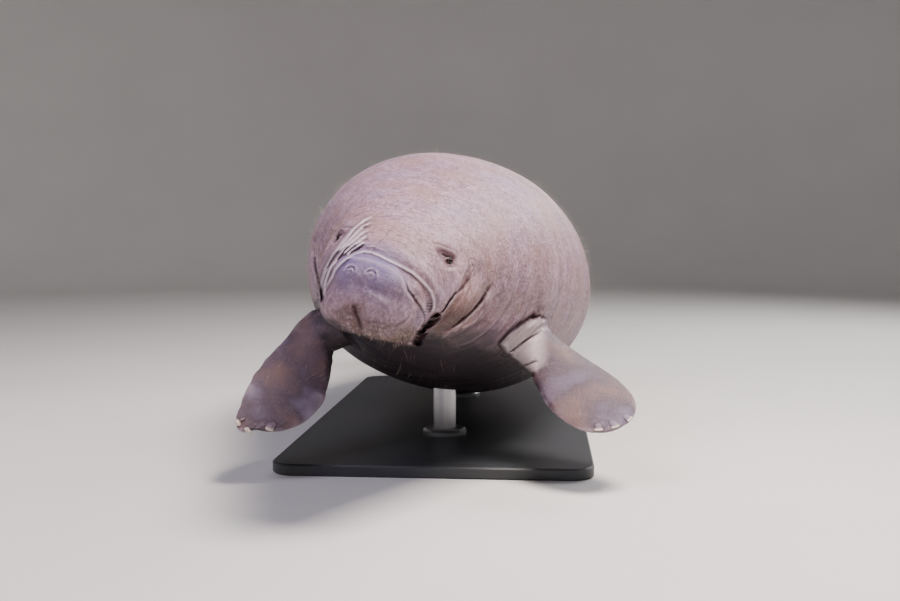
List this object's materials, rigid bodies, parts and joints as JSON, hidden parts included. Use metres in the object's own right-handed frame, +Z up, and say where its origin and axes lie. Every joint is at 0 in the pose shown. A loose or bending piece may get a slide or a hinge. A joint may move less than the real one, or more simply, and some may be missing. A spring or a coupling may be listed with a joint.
{
  "type": "manatee",
  "caption": "Life-size manatee gliding with its flippers spread, banked a little to its left, on a plain display stand with a flat base and short rods.",
  "frame": {"origin": "middle of the underside of the stand's base plate", "axes": "+Z up, +Y along the trunk towards the tail, +X to the animal's left"},
  "size_m": [0.8924, 2.8852, 0.7699],
  "materials": {
    "skin": "cast resin painted as wrinkled mauve-brown hide",
    "eye": "polished dark glass eye",
    "stand_base": "satin dark grey paint",
    "stand_rod": "brushed"
  },
  "bodies": {
    "root": {"head": "skin", "neck": "skin", "torso": "skin", "tail_stock": "skin", "tail_paddle": "skin", "flipper_left": "skin", "flipper_right": "skin", "eyelids_left": "skin", "eyelids_right": "skin", "eye_left": "eye", "eye_right": "eye", "stand_base": "stand_base", "stand_rod_front": "stand_rod", "stand_rod_rear": "stand_rod"}
  },
  "joints": []
}
